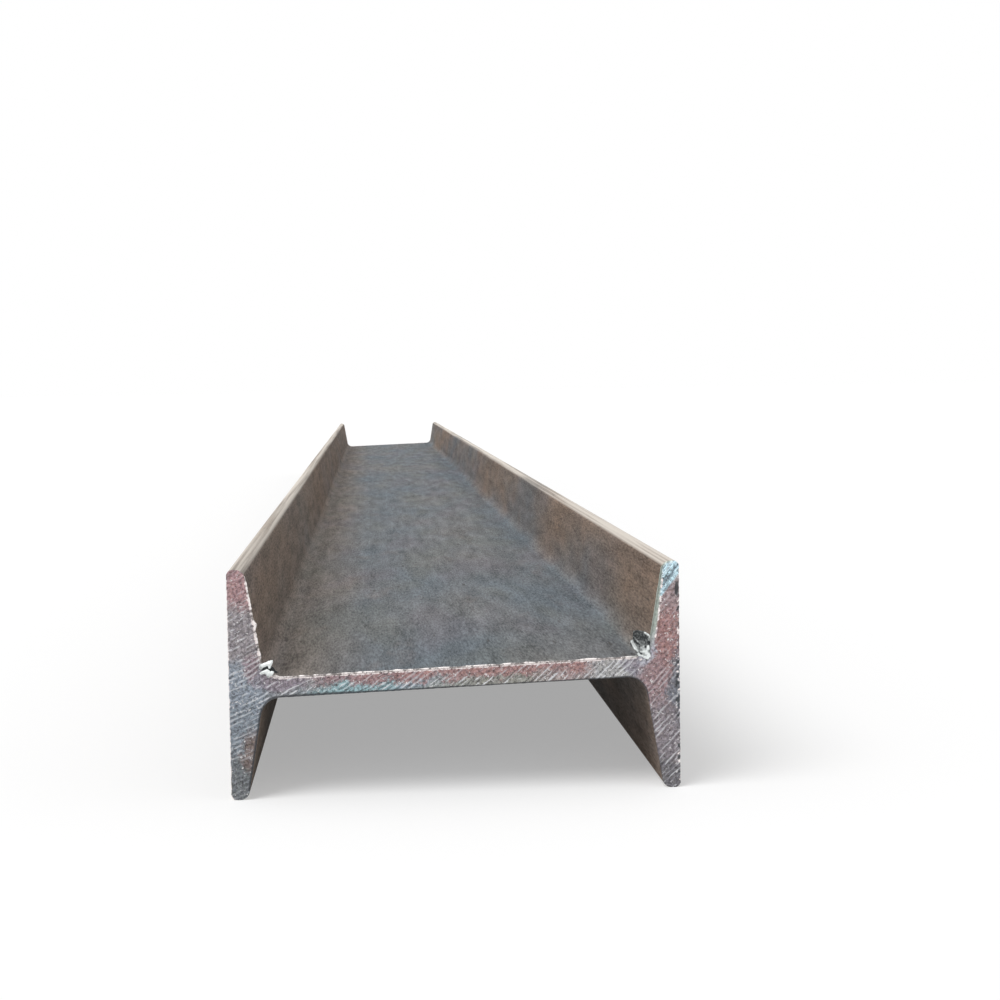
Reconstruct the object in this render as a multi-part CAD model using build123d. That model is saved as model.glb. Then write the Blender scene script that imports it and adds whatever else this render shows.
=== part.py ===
from build123d import *
import math
import os

# A hot-rolled steel I-beam with tapered flanges, lying on its flange tips with its web level.
# X runs across the section's depth, from one flange to the other, Y along the beam, and Z up.
# The beam is centred on X and Y, and the lower flange tips stand on z = 0.

# Driving dimensions, in millimetres
beam_length = 3000.0
section_depth = 200.0
flange_width = 102.0
flange_thickness = 11.4
web_thickness = 9.0
root_radius = 9.0
toe_radius = 4.5
outer_corner_radius = 2.5

# The rolls left the web a little off the middle of the flanges. It climbs by the first value
# from the left flange to the right one, and its middle lies above mid-height by the second.
web_rise = 6.5
web_lift = 1.25

# The flanges' inner faces are rolled 1 in 6. The flange thickness above is the one halfway
# from a tip to the web.
flange_taper_share = 1 / 6

# The rounds on a flange tip leave at least this much of its edge flat between them.
flat_edge_share = 0.1

half_depth = section_depth / 2
web_middle = flange_width / 2 + web_lift
web_slope = web_rise / section_depth
flange_reach = (flange_width - web_thickness) / 2
tip_thickness = flange_thickness - flange_reach / 2 * flange_taper_share

# A round takes its radius times the tangent of half its turn off each side of its corner.
taper_angle = math.atan(flange_taper_share)
toe_take = toe_radius * math.tan((math.pi / 2 - taper_angle) / 2)
rounds_take = toe_take + outer_corner_radius
fit_share = min(1, (1 - flat_edge_share) * tip_thickness / rounds_take)
fitted_toe_radius = toe_radius * fit_share
fitted_corner_radius = outer_corner_radius * fit_share


def web_face(x, level):
    """Height of the web's upper face (level 1) or lower face (level -1) at x."""
    return web_middle + web_slope * x + level * web_thickness / 2


def root_corner(side, level):
    """Where a flange's inner face meets the web.

    side is -1 at the left flange and 1 at the right one, level is 1 above the web and -1 below it.
    The inner face gains its taper for each unit of reach from the tip, and the web's face is not
    quite level, so the corner is where these two lines cross.
    """
    reach_at_middle = flange_width / 2 - level * web_lift - web_thickness / 2
    inset = tip_thickness + reach_at_middle * flange_taper_share
    x = (half_depth - inset) / (side - level * web_slope * flange_taper_share)
    return x, web_face(x, level)


# The section's corners with their radii, once round it from the left flange's lower outer corner.
inner_tip = half_depth - tip_thickness
corners = [
    ((-half_depth, 0), fitted_corner_radius),
    ((-half_depth, flange_width), fitted_corner_radius),
    ((-inner_tip, flange_width), fitted_toe_radius),
    (root_corner(-1, 1), root_radius),
    (root_corner(1, 1), root_radius),
    ((inner_tip, flange_width), fitted_toe_radius),
    ((half_depth, flange_width), fitted_corner_radius),
    ((half_depth, 0), fitted_corner_radius),
    ((inner_tip, 0), fitted_toe_radius),
    (root_corner(1, -1), root_radius),
    (root_corner(-1, -1), root_radius),
    ((-inner_tip, 0), fitted_toe_radius),
]
points = [(x, -beam_length / 2, z) for (x, z), radius in corners]
radii = [radius for place, radius in corners]

# The whole beam is this one section, rolled to length and sawn square.
outline = FilletPolyline(*points, radius=radii, close=True)
section = make_face(outline.edges())
i_beam = extrude(section, amount=beam_length, dir=(0, 1, 0))

os.makedirs("parts", exist_ok=True)
export_step(i_beam, "parts/i_beam.step")

print(f"section {section.area:.0f} mm2, volume {i_beam.volume:.0f} mm3")
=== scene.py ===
import math
import bpy
from mathutils import Matrix, Vector, geometry, kdtree, noise


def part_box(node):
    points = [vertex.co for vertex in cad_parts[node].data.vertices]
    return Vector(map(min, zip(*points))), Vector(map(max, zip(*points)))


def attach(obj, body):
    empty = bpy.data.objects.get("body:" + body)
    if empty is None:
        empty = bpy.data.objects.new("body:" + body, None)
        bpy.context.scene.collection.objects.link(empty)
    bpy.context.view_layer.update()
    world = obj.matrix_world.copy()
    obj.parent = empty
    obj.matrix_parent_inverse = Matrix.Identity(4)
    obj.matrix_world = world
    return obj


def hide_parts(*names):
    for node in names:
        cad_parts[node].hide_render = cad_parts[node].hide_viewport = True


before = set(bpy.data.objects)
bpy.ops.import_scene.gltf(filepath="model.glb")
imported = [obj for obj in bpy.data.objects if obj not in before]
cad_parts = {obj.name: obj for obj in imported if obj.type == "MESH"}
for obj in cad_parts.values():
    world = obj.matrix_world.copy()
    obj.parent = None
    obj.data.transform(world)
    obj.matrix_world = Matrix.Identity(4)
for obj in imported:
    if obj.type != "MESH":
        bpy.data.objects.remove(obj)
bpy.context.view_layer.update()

# The camera stands 0.8 m in front of the beam's near end and 80 mm above its flange tips. It looks
# along the beam, 4 degrees to the right and nearly 4 degrees down, tilted by nearly 1 degree.
MM = 0.001
camera_data = bpy.data.cameras.new("camera")
camera_data.sensor_width = 36
camera_data.lens = 65.53
camera = bpy.data.objects.new("camera", camera_data)
bpy.context.collection.objects.link(camera)
camera_place = Matrix.Translation((-35.16 * MM, -2299.2 * MM, 182.22 * MM))
camera_heading = Matrix.Rotation(math.radians(-3.997), 4, "Z")
camera_pitch = Matrix.Rotation(math.radians(90 - 3.693), 4, "X")
camera_roll = Matrix.Rotation(math.radians(-0.851), 4, "Z")
camera.matrix_world = camera_place @ camera_heading @ camera_pitch @ camera_roll
bpy.context.scene.camera = camera
bpy.context.scene.view_settings.view_transform = "Standard"

# The beam is one length of hot-rolled structural steel: two flanges that taper 1 in 6 to rounded
# toes, joined by a web with rounded roots. The rolls left the web slightly off the middle and off
# level. Both ends are sawn square, and the saw tore their edges.
cad_low, cad_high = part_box("i_beam")
half_length = cad_high.y
half_depth = cad_high.x
flange_width = cad_high.z
flange_thickness = 11.4 * MM
flange_taper = 1 / 6
web_thickness = 9 * MM
web_rise = 6.5 * MM
web_lift = 1.25 * MM
root_radius = 9 * MM
toe_radius = 4.5 * MM
corner_radius = 2.5 * MM
outline_step = 0.5 * MM
cut_step = 0.5 * MM
tear_depth = 0.12 * MM
tear_pitch = 1.3 * MM
tear_reach = 1.4 * MM
torn_edge = 1 * MM
saw_relief = 0.11 * MM
groove_size = (1.9 * MM, 11 * MM)
cut_grain = 1.1 * MM
blade_middle = Vector((-250 * MM, 370 * MM))
blade_reach = 420 * MM

web_slope = web_rise / (2 * half_depth)
tip_thickness = flange_thickness - (flange_width - web_thickness) / 4 * flange_taper
inner_tip = half_depth - tip_thickness


def root_corner(side, level):
    """Where a flange's inner face meets the web: side -1 is the left, level 1 is above the web."""
    reach = flange_width / 2 - level * web_lift - web_thickness / 2
    inset = tip_thickness + reach * flange_taper
    x = (half_depth - inset) / (side - level * web_slope * flange_taper)
    return x, flange_width / 2 + web_lift + web_slope * x + level * web_thickness / 2


def rounded_outline(corners, step):
    """Points one step apart round a closed outline, and the first point of each corner's round."""
    rounds = []
    for i, (x, z, radius) in enumerate(corners):
        corner = Vector((x, z))
        back = (Vector(corners[i - 1][:2]) - corner).normalized()
        ahead = (Vector(corners[(i + 1) % len(corners)][:2]) - corner).normalized()
        half = back.angle(ahead) / 2
        middle = corner + (back + ahead).normalized() * radius / math.sin(half)
        spoke = corner + back * radius / math.tan(half) - middle
        turn = math.copysign(math.pi - 2 * half, ahead.cross(back))
        count = max(3, round(radius * abs(turn) / step))
        arc = [middle + Matrix.Rotation(turn * k / count, 2) @ spoke for k in range(count + 1)]
        rounds.append(arc)
    points = []
    starts = []
    for i, arc in enumerate(rounds):
        starts.append(len(points))
        points.extend(arc)
        run = rounds[(i + 1) % len(rounds)][0] - arc[-1]
        count = max(1, round(run.length / step))
        points.extend(arc[-1] + run * k / count for k in range(1, count))
    return points, starts


outline, corner_starts = rounded_outline(
    [
        (-half_depth, 0, corner_radius),
        (-half_depth, flange_width, corner_radius),
        (-inner_tip, flange_width, toe_radius),
        (*root_corner(-1, 1), root_radius),
        (*root_corner(1, 1), root_radius),
        (inner_tip, flange_width, toe_radius),
        (half_depth, flange_width, corner_radius),
        (half_depth, 0, corner_radius),
        (inner_tip, 0, toe_radius),
        (*root_corner(1, -1), root_radius),
        (*root_corner(-1, -1), root_radius),
        (-inner_tip, 0, toe_radius),
    ],
    outline_step,
)
# The first points of the rounds that the marks of the saw are placed by.
left_tip = corner_starts[1]
left_toe = corner_starts[2]
left_root = corner_starts[3]
right_tip = corner_starts[6]
right_lower_toe = corner_starts[8]
left_lower_toe = corner_starts[11]

around = len(outline)
outward = []
run_lengths = [0]
for i in range(around):
    ahead = outline[(i + 1) % around]
    along = ahead - outline[i - 1]
    outward.append(Vector((-along.y, along.x)).normalized())
    run_lengths.append(run_lengths[-1] + (ahead - outline[i]).length)

# What the saw did to the edges of an end, with light and shade painted on. Fresh metal is heaped up
# along the upper channel: in beads on the left flange, and in a smeared rim on the web, both whitened
# by a painted highlight where the edge catches the light. The right flange has a pale bevel there, its
# paleness partly a painted highlight. Its outer edge is nicked along the tooth marks, and has one deep
# notch below the tip; the nicks and the notch are darkened with painted shade. The lower edges get
# painted shade, above all from the left root to the middle of the web.
toe_clear = 2 * MM
toe_blend = 3 * MM
web_end = 90 * MM
rim_blend = 6 * MM
rim_width = 1.6 * MM
bead_width = 1.3 * MM
bead_pitch = 2.3 * MM
heap_recess = 0.35 * MM
bevel_start = 81 * MM
bevel_growth = 30 * MM
bevel_border = 0.5 * MM
bevel_width = 1.8 * MM
bevel_recess = 0.5 * MM
bevel_bead_width = 0.7 * MM
bevel_bead_pitch = 1.9 * MM
margin_width = 0.8 * MM
nick_width = 1.9 * MM
nick_size = (1.1 * MM, 4 * MM)
nick_clear = 8 * MM
nicked_low = 30 * MM
nicked_low_blend = 8 * MM
nicked_high = 62 * MM
nicked_high_blend = 10 * MM
under_shade_width = 0.9 * MM
under_left_x = 10 * MM
under_left_blend = 40 * MM
under_root_x = -62 * MM
under_root_blend = 10 * MM
under_pale_x = 86 * MM
notch_place = Vector((98.9 * MM, 89.4 * MM))
notch_size = (0.9 * MM, 3.3 * MM)


def clamped(value):
    """The value, held between 0 and 1."""
    return min(1, max(0, value))


def on_arc(x, z):
    """Distance of a point of the cut from the blade's middle, and its travel along the tooth marks."""
    spoke = Vector((x, z)) - blade_middle
    return spoke.length, math.atan2(spoke.y, spoke.x) * blade_reach


def beading(i, end):
    """How much fresh metal is heaped up in beads at outline point i.

    A bare number among a noise's coordinates only tells that noise from the others.
    """
    run = run_lengths[i] / bead_pitch
    sway = noise.noise(Vector((run / 2.7, end * 5.3, 0)))
    size = noise.noise(Vector((run / 1.6, end * 2.9, 4.4)))
    return clamped(0.66 + 0.26 * math.sin(2 * math.pi * run + 7 * sway) + 0.8 * size)


def edge_marks(x, z, i, distance, end):
    """Shares of highlit fresh metal, bevel and painted shade near outline point i, and how deep it lies."""
    edge_x, edge_z = outline[i]
    fresh_and_highlight = bevel = shaded = recess = 0
    if left_toe <= i < right_tip:
        below_toe = clamped((flange_width - edge_z - toe_clear) / toe_blend)
        if end < 0 and edge_x > bevel_start:
            width = bevel_width * min(1.35, 0.5 + (flange_width - edge_z) / bevel_growth)
            bevel = clamped((width - distance) / bevel_border)
            heap = noise.noise(Vector((edge_x / bevel_bead_pitch, 1.7, edge_z / bevel_bead_pitch)))
            beads = (0.45 + 1.4 * heap) * max(0, 1 - abs(distance - width) / bevel_bead_width)
            fresh_and_highlight = below_toe * beads
            recess = bevel_recess * max(0, 1 - distance / width)
        else:
            on_web = clamped((web_end - abs(edge_x)) / rim_blend)
            near_edge = max(0, 1 - distance / (bead_width + (rim_width - bead_width) * on_web))
            fresh_and_highlight = near_edge * below_toe * (0.75 * on_web + (1 - 0.75 * on_web) * beading(i, end))
            recess = heap_recess * near_edge ** 2
    elif i < left_tip:
        fresh_and_highlight = 0.55 * max(0, 1 - distance / margin_width)
    elif right_tip <= i < right_lower_toe:
        reach, travel = on_arc(x, z)
        nick = noise.noise(Vector((reach / nick_size[0], travel / nick_size[1], end * 3.1)))
        low = clamped((nicked_high - z) / nicked_high_blend)
        low *= clamped((z - nicked_low) / nicked_low_blend)
        chip = noise.noise(Vector((x / nick_size[0], 8.1, z / nick_size[0])))
        margin = clamped(1.6 - 1.6 * distance / (nick_width * (1 + 0.4 * low)))
        margin *= clamped((flange_width - z - nick_clear) / toe_blend)
        shaded = margin * clamped(2 * (nick + chip) - 0.45 + 0.65 * low)
        fresh_and_highlight = 0.7 * margin * clamped(-2.6 * (nick + chip) - 0.5)
    elif right_lower_toe <= i < left_lower_toe:
        left = clamped((under_left_x - edge_x) / under_left_blend)
        left += clamped(2 - abs(edge_x - under_root_x) / under_root_blend)
        shaded = max(0, 1 - distance / (under_shade_width * (1 + 0.5 * left)))
        if edge_x > under_pale_x:
            shaded *= 0.5
    if end < 0:
        notch = math.hypot((x - notch_place.x) / notch_size[0], (z - notch_place.y) / notch_size[1])
        shaded = max(shaded, clamped(2.2 - 2 * notch))
        recess += bevel_recess * max(0, 1 - notch)
    return (fresh_and_highlight, bevel, shaded), recess


def torn(i, end):
    """How far the edge of the end (-1 near, 1 far) is torn back or pushed out at outline point i.

    The right flange's outer edge is torn twice as deep as the rest.
    """
    x, z = outline[i]
    tear = tear_depth * noise.noise(Vector((x / tear_pitch, end * 7.3, z / tear_pitch)))
    if x > half_depth - torn_edge:
        tear *= 2
    return tear


def sawn(x, z, end):
    """Relief of a sawn end: grooves along the arcs of the blade's teeth, and a finer roughness."""
    reach, travel = on_arc(x, z)
    groove = noise.noise(Vector((reach / groove_size[0], travel / groove_size[1], end * 9.7)))
    rough = noise.noise(Vector((x / cut_grain, end * 4.9, z / cut_grain)))
    return saw_relief * (groove + 0.35 * rough)


near_depths = [0, 0.9 * MM, 1.6 * MM, 2.6 * MM, 4.5 * MM, 8 * MM, 16 * MM, 32 * MM, 64 * MM]
span_count = 11
span_start = near_depths[-1] - half_length
stations = [depth - half_length for depth in near_depths]
stations += [span_start - 2 * span_start * k / span_count for k in range(1, span_count)]
stations += [half_length - depth for depth in reversed(near_depths)]

verts = []
marks = []
for y in stations:
    end = -1 if y < 0 else 1
    depth = half_length - abs(y)
    fade = math.exp(-((depth / tear_reach) ** 2))
    for i, (x, z) in enumerate(outline):
        tear = torn(i, end) * fade
        shares, recess = edge_marks(x, z, i, 0, end)
        back = (sawn(x, z, end) - end * recess) * fade
        verts.append((x + outward[i].x * tear, y + back, z + outward[i].y * tear))
        marks.append(shares)

# One picture holds the whole beam: the walls unrolled in its upper part, the ends side by side below.
wall_foot = 0.26
end_margins = (0.005, 0.004)
end_shares = (0.485, 0.24)
faces = []
uvs = []
finishes = []
for j in range(len(stations) - 1):
    lefts = (stations[j] + half_length) / (2 * half_length)
    rights = (stations[j + 1] + half_length) / (2 * half_length)
    for i in range(around):
        after = (i + 1) % around
        ring = j * around
        faces.append((ring + i, ring + after, ring + around + after, ring + around + i))
        low = wall_foot + (1 - wall_foot) * run_lengths[i] / run_lengths[-1]
        high = wall_foot + (1 - wall_foot) * run_lengths[i + 1] / run_lengths[-1]
        uvs.extend(((lefts, low), (lefts, high), (rights, high), (rights, low)))
        finishes.append(0)


def search_tree(points):
    """A tree that finds the nearest of some points."""
    tree = kdtree.KDTree(len(points))
    for i, point in enumerate(points):
        tree.insert((point.x, point.y, 0), i)
    tree.balance()
    return tree


edge_tree = search_tree(outline)
inside = []
row_height = cut_step * math.sqrt(3) / 2
for row in range(1, int(flange_width / row_height)):
    for column in range(int(2 * half_depth / cut_step)):
        x = (column + 0.5 * (row % 2)) * cut_step - half_depth
        z = row * row_height
        edge, i, distance = edge_tree.find((x, z, 0))
        if distance > 0.7 * cut_step and (Vector((x, z)) - outline[i]).dot(outward[i]) < 0:
            inside.append((x, z, i, distance))

# The triangulation keeps only what lies inside the loop of the outline.
loop = [(i, (i + 1) % around) for i in range(around)]
for end in (-1, 1):
    ring = 0 if end < 0 else (len(stations) - 1) * around
    flat = [(verts[ring + i][0], verts[ring + i][2]) for i in range(around)]
    flat += [(x, z) for x, z, i, distance in inside]
    cut_verts, _, cut_faces = geometry.delaunay_2d_cdt(flat, loop, [], 1, 1e-8)[:3]
    first = len(verts)
    for x, z, i, distance in inside:
        shares, recess = edge_marks(x, z, i, distance, end)
        verts.append((x, end * (half_length - recess) + sawn(x, z, end), z))
        marks.append(shares)
    for face in cut_faces:
        corners = face if end < 0 else face[::-1]
        faces.append(tuple(ring + c if c < around else first + c - around for c in corners))
        for c in corners:
            across = end_margins[0] + end_shares[0] * (cut_verts[c].x + half_depth) / (2 * half_depth)
            up = end_margins[1] + end_shares[1] * cut_verts[c].y / flange_width
            uvs.append((across if end < 0 else across + 0.5, up))
        finishes.append(1)

mesh = bpy.data.meshes.new("i_beam_steel")
mesh.from_pydata(verts, [], faces)
bake_map = mesh.uv_layers.new(name="OFBake")
bake_map.data.foreach_set("uv", [value for pair in uvs for value in pair])
mesh.polygons.foreach_set("material_index", finishes)
mesh.polygons.foreach_set("use_smooth", [True] * len(faces))
last_ring = (len(stations) - 1) * around
for edge in mesh.edges:
    a, b = sorted(edge.vertices)
    on_ring = b < around or (a >= last_ring and b < last_ring + around)
    if on_ring and b - a in (1, around - 1):
        edge.use_edge_sharp = True
for name, shares in zip(("fresh_and_highlight", "bevel", "shaded"), zip(*marks)):
    mesh.attributes.new(name, "FLOAT", "POINT").data.foreach_set("value", shares)
mesh.update()
beam = bpy.data.objects.new("i_beam_steel", mesh)
bpy.context.collection.objects.link(beam)


def srgb(code):
    """Linear RGBA for an sRGB hex colour."""
    channels = [int(code[k:k + 2], 16) / 255 for k in (1, 3, 5)]
    return (*[c / 12.92 if c <= 0.04045 else ((c + 0.055) / 1.055) ** 2.4 for c in channels], 1)


def node(tree, kind, inputs=None, **settings):
    """Add a node, set its settings, and give each input a value or a link, by its identifier."""
    made = tree.nodes.new(kind)
    for name, value in settings.items():
        setattr(made, name, value)
    sockets = {socket.identifier: socket for socket in made.inputs}
    for name, value in (inputs or {}).items():
        if isinstance(value, bpy.types.Node):
            value = next(socket for socket in value.outputs if socket.enabled)
        if isinstance(value, bpy.types.NodeSocket):
            tree.links.new(value, sockets[name])
        else:
            sockets[name].default_value = value
    return made


def new_material(name):
    """A material with no nodes yet."""
    material = bpy.data.materials.new(name)
    material.use_nodes = True
    material.node_tree.nodes.clear()
    return material, material.node_tree


# Hot-rolled mill scale: the iron oxide that forms as the steel cools in air. It gives a dull slate
# grey with a brown bloom of first rust, drawn out along the beam by the rolls, and a fine grain.
scale, tree = new_material("hot_rolled_mill_scale")
place = node(tree, "ShaderNodeTexCoord").outputs["Object"]
split = node(tree, "ShaderNodeSeparateXYZ", {"Vector": place})
# The rolls draw the scale's patches, marks and grain out along the beam.
drawn_out, lengthwise, grain_place = (
    node(tree, "ShaderNodeVectorMath", {"Vector": place, "Vector_001": (1, share, 1)}, operation="MULTIPLY")
    for share in (0.22, 0.006, 0.13)
)
patches = node(tree, "ShaderNodeTexNoise", {"Vector": drawn_out, "Scale": 1 / (60 * MM), "Detail": 3})
# The web is browner and lighter towards the left flange: partly its own colour, and partly painted
# light that offsets the shadow the left flange casts there.
left_side = node(
    tree, "ShaderNodeMapRange",
    {
        "Value": split.outputs["X"],
        "From Min": -40 * MM,
        "From Max": -78 * MM,
        "To Min": -0.07,
        "To Max": 0.61,
    },
)
# The flanges' outer faces, which the rolls press flat, keep more of the scale.
off_centre = node(tree, "ShaderNodeMath", {"Value": split.outputs["X"]}, operation="ABSOLUTE")
rusting = node(
    tree, "ShaderNodeMapRange",
    {
        "Value": off_centre,
        "From Min": half_depth - 1.5 * MM,
        "From Max": half_depth - 0.5 * MM,
        "To Min": 1,
        "To Max": 0.4,
    },
)
browning_and_light = node(
    tree, "ShaderNodeMath",
    {"Value": left_side, "Value_001": rusting, "Value_002": patches},
    operation="MULTIPLY_ADD",
)
brown_and_light_share = node(tree, "ShaderNodeMapRange", {"Value": browning_and_light, "From Min": 0.3, "From Max": 1})
colour = node(
    tree, "ShaderNodeMix",
    {"Factor_Float": brown_and_light_share, "A_Color": srgb("#5e676e"), "B_Color": srgb("#7b736c")},
    data_type="RGBA",
)
# Faint casts of violet and olive, in patches of about 35 mm.
cast = node(tree, "ShaderNodeTexNoise", {"Vector": drawn_out, "Scale": 1 / (35 * MM)})
for code, border, middle in (("#68626c", 0.46, 0.34), ("#67685f", 0.54, 0.66)):
    cast_share = node(
        tree, "ShaderNodeMapRange",
        {"Value": cast, "From Min": border, "From Max": middle, "To Max": 0.3},
    )
    colour = node(
        tree, "ShaderNodeMix",
        {"Factor_Float": cast_share, "A_Color": colour, "B_Color": srgb(code)},
        data_type="RGBA",
    )
# The flanges rust first, to a dull golden brown, because water runs down them.
flange_side = node(
    tree, "ShaderNodeMapRange",
    {"Value": off_centre, "From Min": 76 * MM, "From Max": 89 * MM, "To Max": 0.8},
)
flange_rust = node(
    tree, "ShaderNodeMath",
    {"Value": flange_side, "Value_001": patches},
    operation="MULTIPLY",
)
flange_share = node(
    tree, "ShaderNodeMapRange",
    {"Value": flange_rust, "From Min": 0.14, "From Max": 0.5, "To Max": 0.9},
)
flange_share = node(
    tree, "ShaderNodeMath",
    {"Value": flange_share, "Value_001": rusting},
    operation="MULTIPLY",
)
colour = node(
    tree, "ShaderNodeMix",
    {"Factor_Float": flange_share, "A_Color": colour, "B_Color": srgb("#826d5c")},
    data_type="RGBA",
)
# Rust bloom, in patches 20 to 30 mm across.
bloom = node(
    tree, "ShaderNodeTexNoise",
    {"Vector": drawn_out, "Scale": 1 / (24 * MM), "Detail": 5, "Roughness": 0.65},
)
bloom_share = node(
    tree, "ShaderNodeMapRange",
    {"Value": bloom, "From Min": 0.57, "From Max": 0.78, "To Max": 0.25},
)
colour = node(
    tree, "ShaderNodeMix",
    {"Factor_Float": bloom_share, "A_Color": colour, "B_Color": srgb("#7f6150")},
    data_type="RGBA",
)
# Roll marks: faint light and dark lines 2 to 3 mm wide that run along the beam.
roll_marks = node(
    tree, "ShaderNodeTexNoise",
    {"Vector": lengthwise, "Scale": 1 / (3.5 * MM), "Detail": 3, "Roughness": 0.6},
)
# The scale's grain. It is finer than 0.3 mm on the real beam, and drawn 0.9 mm wide and 7 mm long
# so that it shows.
grain = node(
    tree, "ShaderNodeTexNoise",
    {"Vector": grain_place, "Scale": 1 / (0.9 * MM), "Roughness": 0.75},
)
mottle = node(
    tree, "ShaderNodeTexNoise",
    {"Vector": grain_place, "Scale": 1 / (8 * MM), "Detail": 3, "Roughness": 0.6},
)
faint_marks = node(
    tree, "ShaderNodeMath",
    {"Value": roll_marks, "Value_001": 0.2, "Value_002": mottle},
    operation="MULTIPLY_ADD",
)
surface = node(
    tree, "ShaderNodeMath",
    {"Value": grain, "Value_001": 1.6, "Value_002": faint_marks},
    operation="MULTIPLY_ADD",
)
shade = node(
    tree, "ShaderNodeMapRange",
    {"Value": surface, "From Min": 1.0, "From Max": 1.8, "To Min": 0.38, "To Max": 1.5},
)
colour = node(tree, "ShaderNodeVectorMath", {"Vector": colour, "Scale": shade}, operation="SCALE")
# Dark pits where scale has flaked off, at most 2 mm wide and drawn out too, on two spots in five.
pit_cells = node(tree, "ShaderNodeTexVoronoi", {"Vector": grain_place, "Scale": 1 / (5 * MM)})
pit_choice = node(tree, "ShaderNodeSeparateXYZ", {"Vector": pit_cells.outputs["Color"]})
pit_size = node(tree, "ShaderNodeMapRange", {"Value": pit_choice, "From Min": 0.6, "To Max": 0.19})
pit_share = node(
    tree, "ShaderNodeMath",
    {"Value": pit_cells.outputs["Distance"], "Value_001": pit_size},
    operation="LESS_THAN",
)
pit_depth = node(tree, "ShaderNodeMath", {"Value": pit_share, "Value_001": 0.6}, operation="MULTIPLY")
colour = node(
    tree, "ShaderNodeMix",
    {"Factor_Float": pit_depth, "A_Color": colour, "B_Color": srgb("#37322f")},
    data_type="RGBA",
)
# Handling rubs the scale off the toes, down to pale steel with grey lines along it.
half_up = node(
    tree, "ShaderNodeMath",
    {"Value": split.outputs["Z"], "Value_001": flange_width / 2},
    operation="SUBTRACT",
)
off_middle = node(tree, "ShaderNodeMath", {"Value": half_up}, operation="ABSOLUTE")
toe_share = node(
    tree, "ShaderNodeMapRange",
    {"Value": off_middle, "From Min": flange_width / 2 - 2.4 * MM, "From Max": flange_width / 2 - 1.2 * MM},
)
toe_lines = node(
    tree, "ShaderNodeMapRange",
    {"Value": roll_marks, "From Min": 0.38, "From Max": 0.54, "To Min": 0.3, "To Max": 0.97},
)
toe_wear = node(tree, "ShaderNodeMath", {"Value": toe_share, "Value_001": toe_lines}, operation="MULTIPLY")
colour = node(
    tree, "ShaderNodeMix",
    {"Factor_Float": toe_wear, "A_Color": colour, "B_Color": srgb("#dbd3c9")},
    data_type="RGBA",
)
roughness = node(
    tree, "ShaderNodeMapRange",
    {"Value": surface, "From Min": 0.95, "From Max": 1.85, "To Min": 0.85, "To Max": 0.65},
)
bump = node(tree, "ShaderNodeBump", {"Strength": 0.5, "Distance": 0.18 * MM, "Height": surface})
shader = node(
    tree, "ShaderNodeBsdfPrincipled",
    {"Base Color": colour, "Roughness": roughness, "Specular IOR Level": 0.3, "Normal": bump},
)
node(tree, "ShaderNodeOutputMaterial", {"Surface": shader})

# Saw-cut carbon steel: bare metal, ridged by the blade's teeth along wide arcs, with a thin film of
# rust that has dried rose and blue-green. It glints along the ridges and looks soft between them: the
# glints are painted highlights, and the grooves get painted shade.
cut, tree = new_material("saw_cut_carbon_steel")
place = node(tree, "ShaderNodeTexCoord").outputs["Object"]
split = node(tree, "ShaderNodeSeparateXYZ", {"Vector": place})
wander = node(tree, "ShaderNodeTexNoise", {"Vector": place, "Scale": 1 / (16 * MM)})
across = node(
    tree, "ShaderNodeMath",
    {"Value": split.outputs["X"], "Value_001": blade_middle.x},
    operation="SUBTRACT",
)
up = node(
    tree, "ShaderNodeMath",
    {"Value": split.outputs["Z"], "Value_001": blade_middle.y},
    operation="SUBTRACT",
)
spoke = node(tree, "ShaderNodeCombineXYZ", {"X": across, "Y": up})
reach = node(tree, "ShaderNodeVectorMath", {"Vector": spoke}, operation="LENGTH")
angle = node(tree, "ShaderNodeMath", {"Value": up, "Value_001": across}, operation="ARCTAN2")
travel = node(tree, "ShaderNodeMath", {"Value": angle, "Value_001": blade_reach}, operation="MULTIPLY")
shaken = node(
    tree, "ShaderNodeMath",
    {"Value": wander, "Value_001": 3 * MM, "Value_002": reach},
    operation="MULTIPLY_ADD",
)
# Tooth marks: lines 2 mm apart, in runs about 15 mm long, over fine scratches 1 mm apart.
mark_pitch = 2 * MM
phase = node(
    tree, "ShaderNodeMath",
    {"Value": shaken, "Value_001": 2 * math.pi / mark_pitch},
    operation="MULTIPLY",
)
lines = node(tree, "ShaderNodeMath", {"Value": phase}, operation="SINE")
arc_place = node(tree, "ShaderNodeCombineXYZ", {"X": shaken, "Y": travel, "Z": split.outputs["Y"]})
run_place = node(
    tree, "ShaderNodeVectorMath",
    {"Vector": arc_place, "Vector_001": (1 / (3 * MM), 1 / (15 * MM), 1)},
    operation="MULTIPLY",
)
runs = node(tree, "ShaderNodeTexNoise", {"Vector": run_place, "Scale": 1, "Detail": 1})
run_share = node(
    tree, "ShaderNodeMapRange",
    {"Value": runs, "From Min": 0.36, "From Max": 0.56, "To Min": 0.25, "To Max": 1.05},
)
lines = node(tree, "ShaderNodeMath", {"Value": lines, "Value_001": run_share}, operation="MULTIPLY")
fine_place = node(
    tree, "ShaderNodeVectorMath",
    {"Vector": arc_place, "Vector_001": (1 / (1 * MM), 1 / (6 * MM), 1)},
    operation="MULTIPLY",
)
scratches = node(tree, "ShaderNodeTexNoise", {"Vector": fine_place, "Scale": 1, "Roughness": 0.6})
strokes = node(
    tree, "ShaderNodeMath",
    {"Value": lines, "Value_001": 0.2, "Value_002": scratches},
    operation="MULTIPLY_ADD",
)
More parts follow.
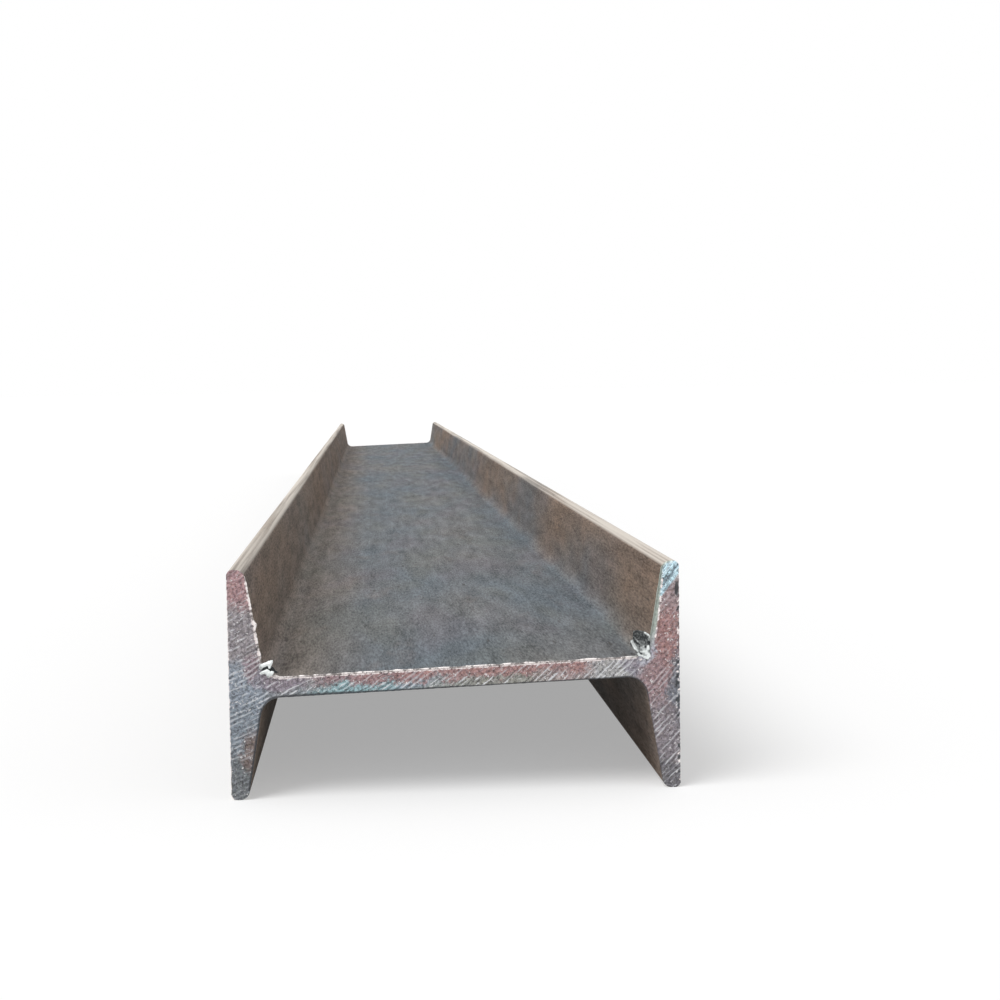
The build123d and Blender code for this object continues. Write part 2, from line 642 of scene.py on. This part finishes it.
# Large soft patches of tint, then the stains of the ends, one over another. Their borders are
# scattered twice: by up to 6 mm in large, and by up to 4 mm from grain to grain.
tint = node(
    tree, "ShaderNodeTexNoise",
    {"Vector": place, "Scale": 1 / (28 * MM), "Detail": 4, "Roughness": 0.65},
)
tint_share = node(tree, "ShaderNodeMapRange", {"Value": tint, "From Min": 0.38, "From Max": 0.62})
colour = node(
    tree, "ShaderNodeMix",
    {"Factor_Float": tint_share, "A_Color": srgb("#8b9093"), "B_Color": srgb("#948a88")},
    data_type="RGBA",
)
drift = node(tree, "ShaderNodeTexNoise", {"Vector": place, "Scale": 1 / (10 * MM)})
# Three fine noises: one scatters borders and casts, one is the grain of the torn metal, and one
# places its specks. They are finer on a real end, and drawn this coarse so that they show.
scatter, grain, specks = (
    node(tree, "ShaderNodeTexNoise", {"Vector": place, "Scale": 1 / width, "Roughness": 0.8})
    for width in (1.3 * MM, 1.5 * MM, 1.4 * MM)
)
stain_place = place
for noises, width in ((drift, 12 * MM), (scatter, 8 * MM)):
    stain_place = node(
        tree, "ShaderNodeVectorMath",
        {
            "Vector": noises.outputs["Color"],
            "Vector_001": (width, 0, width),
            "Vector_002": stain_place,
        },
        operation="MULTIPLY_ADD",
    )
# Both noises are a half on average, which moves everything by half of their widths, in millimetres.
scatter_shift = 10
near = -half_length
far = half_length
stain_depth = 50 * MM
# Each stain: its middle, half width and half height in millimetres, end, colour, strength, and how
# strongly the painted highlights and painted shade of the tooth marks show in it. First come the left
# flange and its root.
stains = [
    (-94, 95, 10, 11, near, "#aa8786", 0.95, 0.15),
    (-95, 74, 9, 12, near, "#958f90", 0.85, 0.6),
    (-96, 45, 14, 18, near, "#8d98a2", 0.9, 0.5),
    (-89.5, 59, 4, 7, near, "#8f787c", 0.75, 0.4),
    (-77, 52.5, 11, 5, near, "#8c7f88", 0.75, 0.6),
    (-94, 24, 12, 20, near, "#7f8990", 0.9, 0.42),
    (-95, 7, 11, 15, near, "#686d6c", 0.9, 0.1),
    (-90, 21, 5.5, 10, near, "#776558", 0.85, 0.2),
    # The web.
    (-40, 46, 26, 6.5, near, "#93b4b8", 0.95, 0.8),
    (-36, 56, 32, 5.5, near, "#967878", 0.85, 0.3),
    (-12, 47.5, 17, 4, near, "#9db3c2", 0.8, 0.7),
    (16, 58.5, 66, 8.6, near, "#a37e78", 0.95, 0.38),
    (24, 47.8, 46, 4, near, "#94958a", 0.85, 1),
    (48, 50.5, 13, 4, near, "#a4938f", 0.7, 0.8),
    # The right root and flange.
    (69, 55, 11, 9, near, "#acadab", 0.9, 0.9),
    (80, 56, 5, 7, near, "#938f99", 0.75, 0.4),
    (94, 82, 9, 12, near, "#a28c8b", 0.9, 0.2),
    (93, 64, 9, 17, near, "#a17a74", 0.95, 0.1),
    (90, 46, 9, 12, near, "#9a8080", 0.9, 0.3),
    (86.8, 64, 3, 9, near, "#aba9b3", 0.85, 0.4),
    (99, 45, 4.5, 20, near, "#6e757b", 0.8, 0.3),
    (92, 24, 10, 17, near, "#877f82", 0.8, 0.45),
    (96, 5, 9, 10, near, "#686666", 0.9, 0.7),
    (86, 58.5, 3.5, 4.5, near, "#babac4", 0.85, 0.4),
    # The far end.
    (-94, 30, 10, 30, far, "#a0827d", 0.8, 0.5),
    (-30, 55, 40, 7, far, "#8f9c9c", 0.8, 0.8),
    (55, 52, 35, 8, far, "#9c7f7a", 0.8, 0.5),
    (94, 80, 10, 26, far, "#8d95a0", 0.8, 0.9),
]
# How strongly the painted highlights and painted shade of the tooth marks show, set anew by each stain.
ridge_light_strength = node(
    tree, "ShaderNodeMapRange",
    {"Value": drift, "From Min": 0.35, "From Max": 0.65, "To Min": 0.4, "To Max": 0.9},
)
for x, z, half_width, half_height, y, code, strength, depth in stains:
    middle = ((x + scatter_shift) * MM, y, (z + scatter_shift) * MM)
    offset = node(
        tree, "ShaderNodeVectorMath",
        {"Vector": stain_place, "Vector_001": middle},
        operation="SUBTRACT",
    )
    squeezed = node(
        tree, "ShaderNodeVectorMath",
        {
            "Vector": offset,
            "Vector_001": (1 / (half_width * MM), 1 / stain_depth, 1 / (half_height * MM)),
        },
        operation="MULTIPLY",
    )
    distance = node(tree, "ShaderNodeVectorMath", {"Vector": squeezed}, operation="LENGTH")
    share = node(
        tree, "ShaderNodeMapRange",
        {"Value": distance, "From Min": 1.25, "From Max": 0.6, "To Max": strength},
        interpolation_type="SMOOTHSTEP",
    )
    colour = node(
        tree, "ShaderNodeMix",
        {"Factor_Float": share, "A_Color": colour, "B_Color": srgb(code)},
        data_type="RGBA",
    )
    ridge_light_strength = node(
        tree, "ShaderNodeMix",
        {"Factor_Float": share, "A_Float": ridge_light_strength, "B_Float": depth},
        data_type="FLOAT",
    )
# The tip of the right flange has dried cyan, as far as one long tooth mark.
tip_end = 444.4 * MM
tip_reach = node(
    tree, "ShaderNodeMath",
    {"Value": scatter, "Value_001": 1.2 * MM, "Value_002": reach},
    operation="MULTIPLY_ADD",
)
tip_share = node(
    tree, "ShaderNodeMapRange",
    {"Value": tip_reach, "From Min": tip_end + 0.9 * MM, "From Max": tip_end + 0.3 * MM},
)
right_side = node(
    tree, "ShaderNodeMapRange",
    {"Value": split.outputs["X"], "From Min": 80 * MM, "From Max": 86 * MM},
)
near_side = node(tree, "ShaderNodeMapRange", {"Value": split.outputs["Y"], "From Max": near})
for side in (right_side, near_side):
    tip_share = node(
        tree, "ShaderNodeMath",
        {"Value": tip_share, "Value_001": side},
        operation="MULTIPLY",
    )
tip_shade = node(
    tree, "ShaderNodeMapRange",
    {"Value": scratches, "From Min": 0.38, "From Max": 0.58, "To Min": 0.5, "To Max": 1.5},
)
tip_tone = node(
    tree, "ShaderNodeVectorMath",
    {"Vector": srgb("#b3ced8")[:3], "Scale": tip_shade},
    operation="SCALE",
)
colour = node(
    tree, "ShaderNodeMix",
    {"Factor_Float": tip_share, "A_Color": colour, "B_Color": tip_tone},
    data_type="RGBA",
)
ridge_light_strength = node(
    tree, "ShaderNodeMix",
    {"Factor_Float": tip_share, "A_Float": ridge_light_strength, "B_Float": 0.3},
    data_type="FLOAT",
)
# A violet cast from grain to grain, as on steel that the cut heated.
cast = node(
    tree, "ShaderNodeMapRange",
    {"Value": scatter, "From Min": 0.35, "From Max": 0.65, "To Max": 0.22},
)
colour = node(
    tree, "ShaderNodeMix",
    {"Factor_Float": cast, "A_Color": colour, "B_Color": srgb("#86839c")},
    data_type="RGBA",
)
grain_shade = node(
    tree, "ShaderNodeMapRange",
    {"Value": grain, "From Min": 0.35, "From Max": 0.65, "To Min": 0.52, "To Max": 1.5},
)
colour = node(tree, "ShaderNodeVectorMath", {"Vector": colour, "Scale": grain_shade}, operation="SCALE")
# Painted highlights brighten the ridges and painted shade darkens the grooves between them, as
# strongly as each stain lets them show. Over them lie nearly black pits and nearly white specks, which
# are painted glints.
for noises, shown, code, border, middle, strength in (
    (strokes, ridge_light_strength, "#e0e2e6", 0.62, 0.71, 1),
    (strokes, ridge_light_strength, "#48464b", 0.37, 0.28, 0.7),
    (specks, 1, "#3a3336", 0.37, 0.32, 0.8),
    (specks, 1, "#e8e6e6", 0.63, 0.69, 0.9),
):
    mark = node(
        tree, "ShaderNodeMapRange",
        {"Value": noises, "From Min": border, "From Max": middle, "To Max": strength},
    )
    mark_share = node(
        tree, "ShaderNodeMath",
        {"Value": mark, "Value_001": shown},
        operation="MULTIPLY", use_clamp=True,
    )
    colour = node(
        tree, "ShaderNodeMix",
        {"Factor_Float": mark_share, "A_Color": colour, "B_Color": srgb(code)},
        data_type="RGBA",
    )
# The edges: a bevel that turns from grey-green to lilac at its foot and is partly paled by a painted
# highlight, heaps of fresh metal whitened by a painted highlight, and nearly black painted shade in
# the nicks, the notch and along the lower edges.
bevel = node(tree, "ShaderNodeAttribute", attribute_name="bevel").outputs["Fac"]
bevel_height = node(
    tree, "ShaderNodeMapRange",
    {"Value": split.outputs["Z"], "From Min": 62 * MM, "From Max": 72 * MM},
)
bevel_tone = node(
    tree, "ShaderNodeMix",
    {"Factor_Float": bevel_height, "A_Color": srgb("#c6c6ce"), "B_Color": srgb("#a9b2aa")},
    data_type="RGBA",
)
bevel_shade = node(
    tree, "ShaderNodeMapRange",
    {"Value": grain, "From Min": 0.35, "From Max": 0.65, "To Min": 0.8, "To Max": 1.2},
)
bevel_tone = node(
    tree, "ShaderNodeVectorMath",
    {"Vector": bevel_tone, "Scale": bevel_shade},
    operation="SCALE",
)
colour = node(
    tree, "ShaderNodeMix",
    {"Factor_Float": bevel, "A_Color": colour, "B_Color": bevel_tone},
    data_type="RGBA",
)
# Fresh metal heaped along the edges, with a painted highlight where they catch the light.
fresh_and_highlight = node(tree, "ShaderNodeAttribute", attribute_name="fresh_and_highlight").outputs["Fac"]
ragged = node(
    tree, "ShaderNodeMapRange",
    {"Value": specks, "From Min": 0.35, "From Max": 0.65, "To Min": 0.55, "To Max": 1.3},
)
fresh_and_highlight_share = node(tree, "ShaderNodeMath", {"Value": fresh_and_highlight, "Value_001": ragged}, operation="MULTIPLY")
fresh_and_highlight_share = node(
    tree, "ShaderNodeMapRange",
    {"Value": fresh_and_highlight_share, "From Min": 0.25, "From Max": 0.5, "To Max": 0.95},
)
colour = node(
    tree, "ShaderNodeMix",
    {"Factor_Float": fresh_and_highlight_share, "A_Color": colour, "B_Color": srgb("#fdf4f2")},
    data_type="RGBA",
)
# Painted shade in the nicks, the notch and along the lower edges.
shaded = node(tree, "ShaderNodeAttribute", attribute_name="shaded").outputs["Fac"]
shaded_share = node(
    tree, "ShaderNodeMapRange",
    {"Value": shaded, "From Min": 0.15, "From Max": 0.6, "To Max": 0.9},
)
colour = node(
    tree, "ShaderNodeMix",
    {"Factor_Float": shaded_share, "A_Color": colour, "B_Color": srgb("#3a3c3f")},
    data_type="RGBA",
)
roughness = node(
    tree, "ShaderNodeMapRange",
    {"Value": strokes, "From Min": 0.3, "From Max": 0.7, "To Min": 0.62, "To Max": 0.4},
)
height = node(
    tree, "ShaderNodeMath",
    {"Value": grain, "Value_001": 0.4, "Value_002": strokes},
    operation="MULTIPLY_ADD",
)
bump = node(tree, "ShaderNodeBump", {"Strength": 0.6, "Distance": 0.35 * MM, "Height": height})
shader = node(
    tree, "ShaderNodeBsdfPrincipled",
    {"Base Color": colour, "Metallic": 0.45, "Roughness": roughness, "Normal": bump},
)
node(tree, "ShaderNodeOutputMaterial", {"Surface": shader})

mesh.materials.append(scale)
mesh.materials.append(cut)
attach(beam, "root")
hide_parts("i_beam")

# Burrs: as the blade leaves the cut it pushes a thin lip of steel over the edges of the upper
# channel. The lip is heaped in beads on the left flange, nearly white from bare steel and a painted
# highlight, and lies low on the right one.
burr_steel, tree = new_material("torn_bare_steel")
place = node(tree, "ShaderNodeTexCoord").outputs["Object"]
split = node(tree, "ShaderNodeSeparateXYZ", {"Vector": place})
# How much bright bare steel and painted highlight each point of the lip gets.
bead_shine = node(tree, "ShaderNodeAttribute", attribute_name="shine").outputs["Fac"]
torn_tone = node(tree, "ShaderNodeTexNoise", {"Vector": place, "Scale": 1 / (1.4 * MM), "Roughness": 0.7})
torn_share = node(
    tree, "ShaderNodeMath",
    {"Value": torn_tone, "Value_001": 2.4, "Value_002": bead_shine},
    operation="MULTIPLY_ADD",
)
torn_share = node(tree, "ShaderNodeMapRange", {"Value": torn_share, "From Min": 1.45, "From Max": 1.95})
colour = node(
    tree, "ShaderNodeMix",
    {"Factor_Float": torn_share, "A_Color": srgb("#8b8482"), "B_Color": srgb("#fdf6f4")},
    data_type="RGBA",
)
right_share = node(
    tree, "ShaderNodeMapRange",
    {"Value": split.outputs["X"], "From Min": 76 * MM, "From Max": 84 * MM, "To Max": 0.9},
)
colour = node(
    tree, "ShaderNodeMix",
    {"Factor_Float": right_share, "A_Color": colour, "B_Color": srgb("#a0a9a1")},
    data_type="RGBA",
)
bump = node(tree, "ShaderNodeBump", {"Strength": 0.5, "Distance": 0.2 * MM, "Height": torn_tone})
shader = node(
    tree, "ShaderNodeBsdfPrincipled",
    {"Base Color": colour, "Metallic": 0.6, "Roughness": 0.42, "Normal": bump},
)
node(tree, "ShaderNodeOutputMaterial", {"Surface": shader})


def add_torn_piece(name, verts, faces, shines, material):
    """Add a piece of torn steel to the beam, with its share of bright metal and painted highlight per
    point.
    """
    mesh = bpy.data.meshes.new(name)
    mesh.from_pydata(verts, [], faces)
    mesh.polygons.foreach_set("use_smooth", [True] * len(faces))
    mesh.attributes.new("shine", "FLOAT", "POINT").data.foreach_set("value", shines)
    mesh.materials.append(material)
    piece = bpy.data.objects.new(name, mesh)
    bpy.context.collection.objects.link(piece)
    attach(piece, "root")
    return piece


# A lip's profile: how far it stands out of the edge, as a share of its height, or in millimetres
# where it is sunk in the steel, and how far it lies in front of the sawn end, in millimetres.
lip_profile = [
    (-0.35, 0.12),
    (-0.1, 0.34),
    (0.45, 0.42),
    (0.95, 0.2),
    (1, -0.02),
    (0.6, -0.3),
    (0, -0.9),
    (-0.4, -0.5),
]
# Height of the lip on the left flange, the web and the right flange.
left_lip = 0.4 * MM
web_lip = 0.35 * MM
right_lip = 0.12 * MM
lip_blend = 10 * MM
left_lip_end = -74 * MM
right_lip_start = 76 * MM
lip_sway = 4 * MM
# Tags are taller bits of the near lip: their place on the edge and their height, in millimetres.
tag_width = 1.1 * MM
tags = [(-87.8, 77.6, 1.5), (-87.4, 63.5, 1.2), (-79, 55.4, 0.7), (-52, 54, 0.35), (31, 57, 0.35)]
# The lip runs from below the left flange's toe to the right one's, and dies away at both ends.
lip_above_root = 38 * MM
lip_short_of_tip = 4 * MM
run_out = 3 * MM / outline_step
first_point = left_root - round(lip_above_root / outline_step)
last_point = right_tip - round(lip_short_of_tip / outline_step)
channel = range(first_point, last_point)
for end, name in ((-1, "saw_burr_near"), (1, "saw_burr_far")):
    verts = []
    shines = []
    for k, i in enumerate(channel):
        x, z = outline[i]
        left_share = clamped((left_lip_end - x) / lip_blend)
        right_share = clamped((x - right_lip_start) / lip_blend)
        web_share = 1 - left_share - right_share
        bead = beading(i, end)
        sway = noise.noise(Vector((x / lip_sway, end * 6.1, z / lip_sway)))
        height = left_lip * left_share * (0.4 + 0.9 * bead)
        height += (web_lip * web_share + right_lip * right_share) * (1 + 1.2 * sway)
        if end < 0:
            for tag_x, tag_z, tag_height in tags:
                gap = math.hypot(x - tag_x * MM, z - tag_z * MM) / tag_width
                height += tag_height * MM * math.exp(-gap * gap)
        taper = min(1, (k + 1) / run_out, (len(channel) - k) / run_out)
        lean_share = taper * (0.7 + 0.3 * left_share * bead) * (1 - 0.6 * right_share)
        for out, forward in lip_profile:
            stand = height * out * taper if out > 0 else out * MM * taper
            spot = Vector((x, z)) + outward[i] * stand
            verts.append((spot.x, end * (half_length + forward * MM * lean_share), spot.y))
        # The lip's painted highlight, strongest on the beads.
        shine = left_share * bead + web_share * (0.52 + 0.8 * sway) + 0.4 * right_share
        shines += [shine] * len(lip_profile)
    sides = len(lip_profile)
    faces = []
    for k in range(len(channel) - 1):
        ring = k * sides
        for side in range(sides):
            after = (side + 1) % sides
            faces.append((ring + side, ring + after, ring + sides + after, ring + sides + side))
    faces.append(tuple(reversed(range(sides))))
    faces.append(tuple(range(len(verts) - sides, len(verts))))
    if end < 0:
        faces = [face[::-1] for face in faces]
    add_torn_piece(name, verts, faces, shines, burr_steel)

# Swarf: leaves of torn steel still hang by the edge of the near end. They are folded and ragged,
# nearly white with painted highlights where they catch the light, and dark elsewhere, partly from
# scale and partly from painted shade.
swarf, tree = new_material("fresh_swarf")
place = node(tree, "ShaderNodeTexCoord").outputs["Object"]
glints = node(tree, "ShaderNodeTexNoise", {"Vector": place, "Scale": 1 / (0.9 * MM), "Roughness": 0.7})
shine = node(tree, "ShaderNodeAttribute", attribute_name="shine").outputs["Fac"]
shine_share = node(
    tree, "ShaderNodeMath",
    {"Value": glints, "Value_001": 0.55, "Value_002": shine},
    operation="MULTIPLY_ADD",
)
shine_share = node(tree, "ShaderNodeMapRange", {"Value": shine_share, "From Min": 0.3, "From Max": 0.88})
colour = node(
    tree, "ShaderNodeMix",
    {"Factor_Float": shine_share, "A_Color": srgb("#202527"), "B_Color": srgb("#fafffe")},
    data_type="RGBA",
)
bump = node(tree, "ShaderNodeBump", {"Strength": 0.3, "Distance": 0.2 * MM, "Height": glints})
shader = node(
    tree, "ShaderNodeBsdfPrincipled",
    {"Base Color": colour, "Metallic": 0.1, "Roughness": 0.4, "Normal": bump},
)
node(tree, "ShaderNodeOutputMaterial", {"Surface": shader})

# In millimetres: the step between a leaf's points, how near the sawn end its middle may come, and
# the depth of its buckles.
leaf_step = 0.3
leaf_gap = 0.12
buckle_depth = 0.3
buckles_per_mm = 0.9


def torn_leaf(name, rim, folds, tone, hollow, thickness):
    """A leaf of torn steel in front of the near end, from its rim and its folds, in millimetres.

    A rim point is (x, z, forward). A fold is (x, z, x, z, half width, forward, brightness): a line
    on which the leaf stands further to the front, and is brighter than its tone by a painted highlight,
    or darker by painted shade.
    """
    ring = []
    for a, b in zip(rim, rim[1:] + rim[:1]):
        count = max(1, round((Vector(b[:2]) - Vector(a[:2])).length / leaf_step))
        ring += [Vector(a).lerp(Vector(b), k / count) for k in range(count)]
    rim_tree = search_tree(ring)
    spots = [point.xy for point in ring]
    depths = [point.z for point in ring]
    low_x, high_x = min(p.x for p in ring), max(p.x for p in ring)
    low_z, high_z = min(p.y for p in ring), max(p.y for p in ring)
    rows = int((high_z - low_z) / leaf_step)
    columns = int((high_x - low_x) / leaf_step)
    for row in range(rows + 1):
        for column in range(columns + 1):
            spot = Vector((low_x + (column + row % 2 / 2) * leaf_step, low_z + row * leaf_step))
            crossings = 0
            for p, q in zip(ring, ring[1:] + ring[:1]):
                if (p.y > spot.y) != (q.y > spot.y):
                    crossings += spot.x < p.x + (spot.y - p.y) / (q.y - p.y) * (q.x - p.x)
            gap = rim_tree.find((spot.x, spot.y, 0))[2]
            if crossings % 2 and gap > 0.5 * leaf_step:
                weights = [1 / ((spot - p.xy).length_squared + 0.1) for p in ring]
                level = sum(w * p.z for w, p in zip(weights, ring)) / sum(weights)
                spots.append(spot)
                depths.append(level - hollow * (1 - math.exp(-(gap ** 2))))
    verts = []
    shines = []
    for spot, depth in zip(spots, depths):
        glow = tone
        for ax, az, bx, bz, half_width, forward, brightness in folds:
            start = Vector((ax, az))
            run = Vector((bx, bz)) - start
            share = clamped((spot - start).dot(run) / max(run.length_squared, 0.0001))
            gap = (spot - start - run * share).length / half_width
            depth += forward * math.exp(-gap * gap)
            glow += brightness * math.exp(-gap * gap)
        buckle = noise.noise(Vector((spot.x * buckles_per_mm, 8.8, spot.y * buckles_per_mm)))
        depth += buckle_depth * buckle
        verts.append((spot.x * MM, -half_length - max(leaf_gap, depth) * MM, spot.y * MM))
        shines.append(glow)
    loop = [(k, (k + 1) % len(ring)) for k in range(len(ring))]
    faces = geometry.delaunay_2d_cdt(spots, loop, [], 1, 1e-6)[2]
    leaf = add_torn_piece(name, verts, faces, shines, swarf)
    gauge = leaf.modifiers.new("gauge", "SOLIDIFY")
    gauge.thickness = thickness * MM
    gauge.offset = 0


# Two chips hang one over the other in the left root. A dark leaf behind them is painted shadow.
torn_leaf(
    "swarf_chip_upper",
    [
        (-86.4, 59.3, 0.2), (-85.7, 60.2, 0.4), (-84.2, 60.8, 0.8), (-83.0, 61.3, 1.1),
        (-82.1, 61.8, 1.3), (-81.2, 62.0, 1.5), (-80.4, 62.1, 1.4), (-80.5, 61.1, 1.6),
        (-81.0, 59.8, 1.9), (-81.5, 58.8, 1.9), (-82.0, 58.3, 1.7), (-82.3, 58.9, 1.5),
        (-82.7, 59.7, 1.3), (-83.5, 59.6, 1.0), (-84.4, 59.1, 0.7), (-85.2, 58.3, 0.4),
        (-86.1, 58.1, 0.2),
    ],
    [
        (-84.2, 60.1, -81.0, 61.4, 0.9, 0.5, 0.5),
        (-81.3, 60.8, -81.8, 58.8, 0.5, 0.3, 0.3),
        (-86.1, 58.9, -85.6, 59.2, 0.8, 0, -0.25),
    ],
    tone=0.55, hollow=-0.4, thickness=0.7,
)
torn_leaf(
    "swarf_chip_lower",
    [
        (-86.3, 56.3, 0.2), (-85.5, 56.9, 0.4), (-84.6, 57.4, 0.7), (-83.7, 57.8, 0.9),
        (-82.9, 58.2, 1.1), (-82.4, 57.9, 1.3), (-81.7, 57.2, 1.5), (-80.8, 57.4, 1.5),
        (-80.1, 57.0, 1.4), (-80.2, 56.2, 1.5), (-80.8, 55.4, 1.4), (-81.7, 55.1, 1.1),
        (-82.4, 54.2, 0.7), (-83.0, 54.5, 0.5), (-83.3, 55.6, 0.6), (-84.2, 56.1, 0.5),
        (-85.1, 56.0, 0.3), (-85.8, 55.7, 0.2),
    ],
    [
        (-84.6, 57.0, -83.1, 57.2, 0.5, 0.3, 0.35),
        (-82.2, 56.3, -80.8, 56.4, 0.9, 0.4, 0.5),
        (-82.8, 54.7, -82.7, 54.9, 0.6, 0, -0.3),
        (-83.3, 55.8, -83.2, 55.9, 0.5, 0, -0.3),
    ],
    tone=0.5, hollow=-0.3, thickness=0.7,
)
torn_leaf(
    "shadow_leaf_behind_chips",
    [
        (-85.3, 58.4, 0.2), (-84.4, 59.2, 0.2), (-83.0, 59.9, 0.3), (-82.4, 59.1, 0.4),
        (-81.0, 59.2, 0.4), (-80.3, 58.9, 0.4), (-79.5, 57.4, 0.3), (-78.4, 56.8, 0.2),
        (-79.0, 55.9, 0.2), (-80.3, 56.6, 0.3), (-81.7, 57.1, 0.4), (-83.0, 57.8, 0.3),
        (-84.2, 57.5, 0.2), (-85.3, 57.2, 0.2),
    ],
    [
        (-82.0, 58.3, -81.0, 58.5, 0.6, -0.2, -0.1),
        (-84.5, 58.3, -84.0, 58.6, 0.5, 0, 0.08),
    ],
    tone=-0.1, hollow=0.1, thickness=0.4,
)

# Flake: a crumpled leaf of steel foil stands in the right root, held at its foot by the burr. Its
# rim is folded to the front and whitened by a painted highlight, and its hollow and its black creases
# are painted shade.
torn_leaf(
    "crumpled_flake",
    [
        (79.2, 71.1, 0.9), (81.0, 71.3, 0.7), (82.8, 71.0, 0.7), (84.3, 70.6, 0.9),
        (85.7, 69.8, 1.2), (86.8, 68.7, 1.3), (86.6, 66.7, 0.8), (86.8, 64.3, 0.6),
        (86.6, 61.7, 0.5), (87.0, 59.5, 0.3), (85.8, 57.8, 0.2), (83.6, 58.9, 0.7),
        (82.9, 59.5, 1.1), (81.4, 59.9, 1.7), (80.6, 60.8, 2.1), (80.4, 62.0, 2.1),
        (79.0, 63.3, 2.4), (77.9, 64.7, 2.5), (77.5, 66.0, 2.5), (77.9, 67.1, 2.2),
        (78.8, 67.3, 1.4), (79.0, 69.3, 1.1),
    ],
    [
        (78.3, 66.4, 79.8, 63.5, 0.55, 0.4, 1.1),
        (79.8, 63.5, 80.9, 62.1, 0.35, 0.3, 0.6),
        (81.2, 60.8, 81.5, 60.4, 0.45, 0.3, 1.1),
        (81.7, 60.1, 83.1, 59.6, 0.4, 0.3, 1.1),
        (84.4, 70.2, 85.9, 69.2, 0.35, 0.3, 0.8),
        (85.9, 69.2, 86.8, 68.3, 0.3, 0.2, 0.45),
        (86.3, 68.1, 86.2, 66.6, 0.35, 0.2, 0.25),
        (79.8, 68.0, 81.2, 66.3, 0.25, 0.5, 0.22),
        (81.2, 66.3, 82.7, 64.9, 0.25, 0.5, 0.22),
        (80.1, 66.6, 80.9, 65.5, 0.3, -0.8, -0.3),
        (82.9, 68.1, 84.6, 67.9, 0.45, -0.6, -0.2),
        (84.7, 63.7, 84.8, 63.7, 0.35, -0.5, -0.7),
        (86.1, 66.1, 86.7, 64.7, 0.35, -0.4, -0.4),
        (85.8, 63.8, 85.8, 62.8, 0.5, 0.4, 0.9),
        (85.1, 61.7, 85.2, 60.9, 0.4, 0.3, 0.7),
        (86.0, 59.9, 86.4, 59.5, 0.6, 0.2, 0.9),
        (83.8, 59.1, 85.6, 58.6, 0.5, 0.2, 0.8),
        (84.0, 62.2, 85.4, 60.4, 1.5, 0.3, 0.4),
        (82.7, 62.4, 82.8, 62.4, 0.4, -0.2, -0.15),
        (82.5, 60.6, 82.6, 60.6, 0.4, -0.3, -0.5),
        (85.4, 60.2, 85.5, 60.2, 0.35, -0.2, -0.4),
        (83.6, 65.6, 83.8, 65.4, 1.2, 0.3, 0.06),
        (80.0, 64.6, 81.4, 62.3, 0.8, 0, 0.12),
        (82.5, 63.2, 83.9, 64.0, 0.4, 0.3, 0.25),
        (82.3, 61.5, 84.1, 61.6, 0.3, 0.2, 0.4),
    ],
    tone=0.05, hollow=1.4, thickness=0.35,
)

# The floor is a plain white studio floor. For what the camera and the steel see it glows a little,
# just enough that its lit part is white, and its shadow stays.


def seen_share(tree):
    """1 for what is seen straight, mirrored or through glass, and 0 for what only gives light."""
    light_path = node(tree, "ShaderNodeLightPath")
    seen = light_path.outputs["Is Camera Ray"]
    for ray in ("Is Glossy Ray", "Is Transmission Ray"):
        seen = node(
            tree, "ShaderNodeMath",
            {"Value": seen, "Value_001": light_path.outputs[ray]},
            operation="MAXIMUM",
        )
    return seen


floor_white, tree = new_material("studio_floor")
glow_strength = node(
    tree, "ShaderNodeMath",
    {"Value": seen_share(tree), "Value_001": 0.38},
    operation="MULTIPLY",
)
matt = node(tree, "ShaderNodeBsdfDiffuse", {"Color": (0.63, 0.63, 0.63, 1)})
glow = node(tree, "ShaderNodeEmission", {"Strength": glow_strength})
both = node(tree, "ShaderNodeAddShader", {"Shader": matt, "Shader_001": glow})
node(tree, "ShaderNodeOutputMaterial", {"Surface": both})
floor_reach = 40
mesh = bpy.data.meshes.new("floor")
corners = [(-1, -1), (1, -1), (1, 1), (-1, 1)]
mesh.from_pydata([(x * floor_reach, y * floor_reach, 0) for x, y in corners], [], [(0, 1, 2, 3)])
mesh.materials.append(floor_white)
floor = bpy.data.objects.new("floor", mesh)
bpy.context.collection.objects.link(floor)

# Light: a white studio all round, with one broad lamp above the camera's left shoulder.
world = bpy.data.worlds.new("white_studio")
world.use_nodes = True
bpy.context.scene.world = world
tree = world.node_tree
tree.nodes.clear()
strength = node(tree, "ShaderNodeMapRange", {"Value": seen_share(tree), "To Min": 0.55})
sky = node(tree, "ShaderNodeBackground", {"Color": (1, 1, 1, 1), "Strength": strength})
node(tree, "ShaderNodeOutputWorld", {"Surface": sky})
lamp_data = bpy.data.lights.new("broad_lamp", "SUN")
lamp_data.energy = 1.8
lamp_data.angle = math.radians(40)
lamp = bpy.data.objects.new("broad_lamp", lamp_data)
bpy.context.collection.objects.link(lamp)
lamp_direction = Vector((0.6, 0.45, -1))
lamp.rotation_euler = lamp_direction.to_track_quat("-Z", "Y").to_euler()
